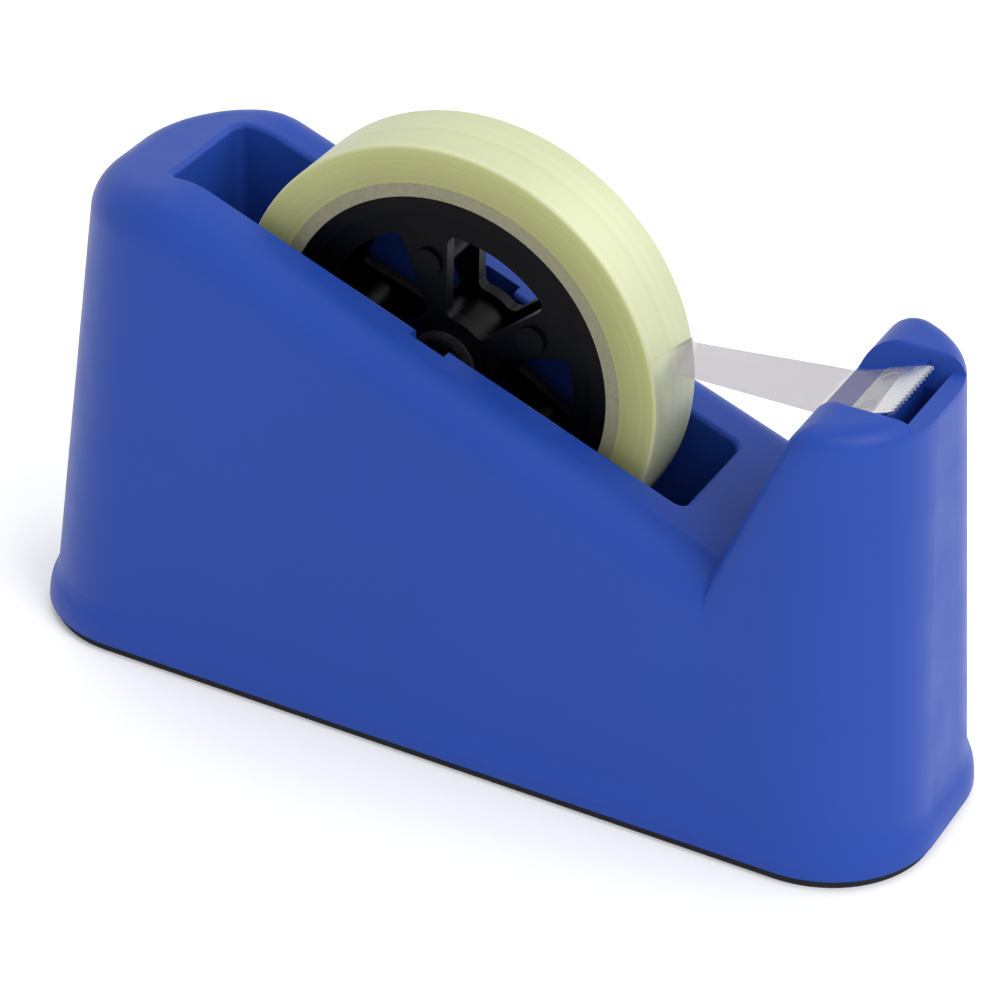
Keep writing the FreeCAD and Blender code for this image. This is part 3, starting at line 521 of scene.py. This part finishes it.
def film_edge(peel, end_x):
    """Path of one edge in x and z: along the roll, off it at the peel angle, to the
    platform, and up its slope to the end."""
    angle = np.radians(peel + ROLL_OVERLAP)
    r = TAPE_RADIUS + LIFT
    on_roll = np.stack([AXLE.x + r * np.cos(angle), AXLE.z + r * np.sin(angle)], axis=-1)
    z = PLATFORM_Z + LIFT
    bend = [(PLATFORM_X - BEND_BEFORE, z),
            (PLATFORM_X - LIFT * math.sin(math.atan(PLATFORM_SLOPE)), z),
            (PLATFORM_X + BEND_AFTER, z + PLATFORM_SLOPE * BEND_AFTER)]
    end = (end_x, z + PLATFORM_SLOPE * (end_x - PLATFORM_X))
    return even_steps(rounded_path(np.concatenate([on_roll, bend, [end]])), EDGE_STEPS)


near_edge, near_length = film_edge(peel=16.0, end_x=86.2 * MM)
far_edge, far_length = film_edge(peel=11.5, end_x=84.8 * MM)
print("edges", round(near_length / MM, 1), "and", round(far_length / MM, 1), "mm long")

# %% [markdown]
# ## Free end of the tape
#
# The film is the straight line from one edge to the other, at each step along them. It
# could be a thin closed box, but one sheet is easier to shape, and Solidify gives it the
# thickness of film afterwards.

# %% Free end
FILM_THICKNESS = 0.06 * MM
FILM_HALF = 9.5 * MM
WIDTH_STEPS = 41
across = np.linspace(0.0, 1.0, WIDTH_STEPS)
sheet_x, sheet_z = (near[:, None] * (1 - across) + far[:, None] * across
                    for near, far in zip(near_edge.T, far_edge.T))
sheet_y = (across * 2 - 1) * FILM_HALF
strip = grid_mesh("tape_film_end", surface(sheet_x, sheet_y, sheet_z), False, False)
thicken = strip.modifiers.new("thickness", "SOLIDIFY")
thicken.thickness = FILM_THICKNESS
thicken.offset = 0.0
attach(strip, "spindle")
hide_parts("tape_strip")

# %% [markdown]
# ## Clear film
#
# Thin film mostly shows what is behind it. Its glue side scatters light in the air as a
# grey haze, which goes where the glue lies flat on something: nearly all of it on the
# roll, and about half on the platform. A glass shader would bend light as a thick block
# does, so the film is a plain surface that is partly see-through, which Alpha sets. The
# haze starts along a slanted line, because the film peels off askew.

# %% Clear film
ASKEW = (1.0, 0.35, 0.0)
HAZE_START = 37.5 * MM
HAZE_END = 43 * MM
HAZE_ON_ROLL = 0.03
HAZE_IN_AIR = 0.5
HAZE_PRESSED_OUT = 0.26
PRESS_START = PLATFORM_X - 1 * MM
PRESS_END = PLATFORM_X + 1 * MM
clear = Finish("clear_film", Roughness=0.22)
streaks = clear.noise(clear.point(scale=(1.0, 12.0, 1.0)), size=20 * MM)
clear.colour(streaks, light(0.280, 0.250, 0.290), light(0.315, 0.285, 0.325))
clear.relief(clear.noise(clear.point(), size=3 * MM), depth=0.02 * MM)
past_peel = clear.vector("DOT_PRODUCT", clear.point(), ASKEW, output="Value")
haze = clear.spread(past_peel, HAZE_ON_ROLL, HAZE_IN_AIR, start=HAZE_START, end=HAZE_END)
forward = clear.add("SeparateXYZ", i0=clear.point()).outputs["X"]
pressed = clear.spread(forward, 0.0, HAZE_PRESSED_OUT, start=PRESS_START, end=PRESS_END)
clear.feed("Alpha", clear.add("Math", {"operation": "SUBTRACT"}, i0=haze, i1=pressed).outputs[0])
paint([strip], clear)

# %% [markdown]
# ## Hub
#
# The hub is black moulded plastic with a soft shine. Plain black would hide its shape.
# So it has a trace of blue, an uneven shine, and a fine grain that catches the light on
# the spokes.

# %% Hub
black = Finish("black_plastic", Specular_IOR_Level=0.08)
shade = black.noise(black.point(), size=20 * MM)
black.colour(shade, light(0.0006, 0.0007, 0.0014), light(0.0012, 0.0013, 0.0022))
black.roughness(black.noise(black.point(), size=6 * MM), low=0.34, high=0.46)
black.relief(black.noise(black.point(), size=0.3 * MM, detail=2.0), depth=0.01 * MM)
paint(["hub_near", "hub_far"], black)

# %% [markdown]
# ## Core
#
# The ring that the tape is wound on is plain board: grey-brown, matt, with short fibres.
# A scan of board would need the ring unwrapped. Noise that is squeezed across the width
# has flat blobs instead of round ones, which look like fibres pressed into a sheet.

# %% Core
board = Finish("core_board", Roughness=0.85)
fibre = board.noise(board.point(scale=(1.0, 3.0, 1.0)), size=0.6 * MM, detail=4.0)
board.colour(fibre, screen(120, 118, 96), screen(134, 132, 108))
board.relief(fibre, depth=0.02 * MM)
paint(["tape_core"], board)

# %% [markdown]
# ## Cutter
#
# The cutter is bright rolled steel, ground along its width. An anisotropic shine would
# do for lines too fine to see, as on the roll, but from close by these can be seen. So
# noise that is stretched a long way in that direction draws them. It feeds the colour,
# the shine and the relief, so that all three agree.

# %% Cutter
steel = Finish("blade_steel", Metallic=1.0)
ground = steel.noise(steel.point(scale=(1.0, 0.04, 1.0)), size=0.15 * MM, detail=2.0)
steel.colour(ground, light(0.66, 0.68, 0.70), light(0.78, 0.79, 0.80))
steel.roughness(ground, low=0.22, high=0.36)
steel.relief(ground, depth=0.004 * MM)
paint(["cutter_blade"], steel)

# %% [markdown]
# ## Plated screws
#
# Most screws are zinc plated. They could share the cutter's steel, but plating is duller
# and has no direction in it, so round clouds of noise vary its colour and shine.

# %% Plated screws
zinc = Finish("plated_steel", Metallic=1.0)
cloud = zinc.noise(zinc.point(), size=1.5 * MM, detail=4.0)
zinc.colour(cloud, light(0.55, 0.56, 0.58), light(0.68, 0.68, 0.68))
zinc.roughness(cloud, low=0.28, high=0.45)
zinc.relief(zinc.noise(zinc.point(), size=0.2 * MM), depth=0.004 * MM)
paint(["blade_screws", "base_screws", "ballast_screws"], zinc)

# %% [markdown]
# ## Blackened steel
#
# The axle, its clips and the screws of the hub are blackened and oiled, to match the
# hub. Black paint would hide the metal. So they stay fully metallic, only far darker,
# and oil that lies unevenly varies their shine.

# %% Blackened steel
blackened = Finish("blackened_steel", Metallic=1.0)
oil = blackened.noise(blackened.point(), size=1.0 * MM, detail=4.0)
blackened.colour(oil, light(0.020, 0.020, 0.022), light(0.040, 0.040, 0.042))
blackened.roughness(oil, low=0.35, high=0.5)
blackened.relief(oil, depth=0.004 * MM)
paint(["axle", "axle_clips", "hub_screws"], blackened)

# %% [markdown]
# ## Pad
#
# A thin pad of fine black foam rubber keeps the dispenser from sliding. Its pores are
# far too small to model, so noise makes them in the relief. The rubber is matt.

# %% Pad
rubber = Finish("pad_rubber", Specular_IOR_Level=0.3)
pores = rubber.noise(rubber.point(), size=0.5 * MM, detail=4.0)
rubber.colour(pores, light(0.006, 0.006, 0.009), light(0.016, 0.016, 0.02))
rubber.roughness(pores, low=0.75, high=0.9)
rubber.relief(pores, depth=0.08 * MM)
paint(["base_pad"], rubber)

# %% [markdown]
# ## Base plate
#
# The plate over the pad is steel under a thin coat of black paint. The paint hides the
# metal, so nothing in this finish is metallic. Sprayed paint dries with a slight orange
# peel, which is soft noise about a millimetre wide.

# %% Base plate
painted = Finish("black_paint", Specular_IOR_Level=0.5)
orange_peel = painted.noise(painted.point(), size=1.2 * MM)
painted.colour(orange_peel, light(0.014, 0.014, 0.016), light(0.022, 0.022, 0.024))
painted.roughness(orange_peel, low=0.35, high=0.5)
painted.relief(orange_peel, depth=0.02 * MM)
paint(["base_plate"], painted)

# %% [markdown]
# ## Ballast
#
# The three blocks on the plate are cast iron, left as they came from the sand. Clean
# iron would be fully metallic. A rough dark skin hides some of it, so this finish is
# metallic only in part, and its relief is the deepest of all.

# %% Ballast
iron = Finish("ballast_iron", Metallic=0.6)
skin = iron.noise(iron.point(), size=1.0 * MM, detail=5.0)
iron.colour(skin, light(0.07, 0.068, 0.066), light(0.13, 0.125, 0.12))
iron.roughness(skin, low=0.6, high=0.8)
iron.relief(skin, depth=0.12 * MM)
paint(["ballast_middle", "ballast_front", "ballast_rear"], iron)

# %% [markdown]
# ## Bushes
#
# The two bushes that the hub turns on are machined from black plastic. In the hub's own
# finish they would be lost against it, so they are greyer and shinier.

# %% Bushes
acetal = Finish("bush_plastic", Specular_IOR_Level=0.5)
mottle = acetal.noise(acetal.point(), size=2 * MM)
acetal.colour(mottle, light(0.009, 0.009, 0.011), light(0.014, 0.014, 0.017))
acetal.roughness(mottle, low=0.35, high=0.45)
acetal.relief(mottle, depth=0.01 * MM)
paint(["hub_bushes"], acetal)
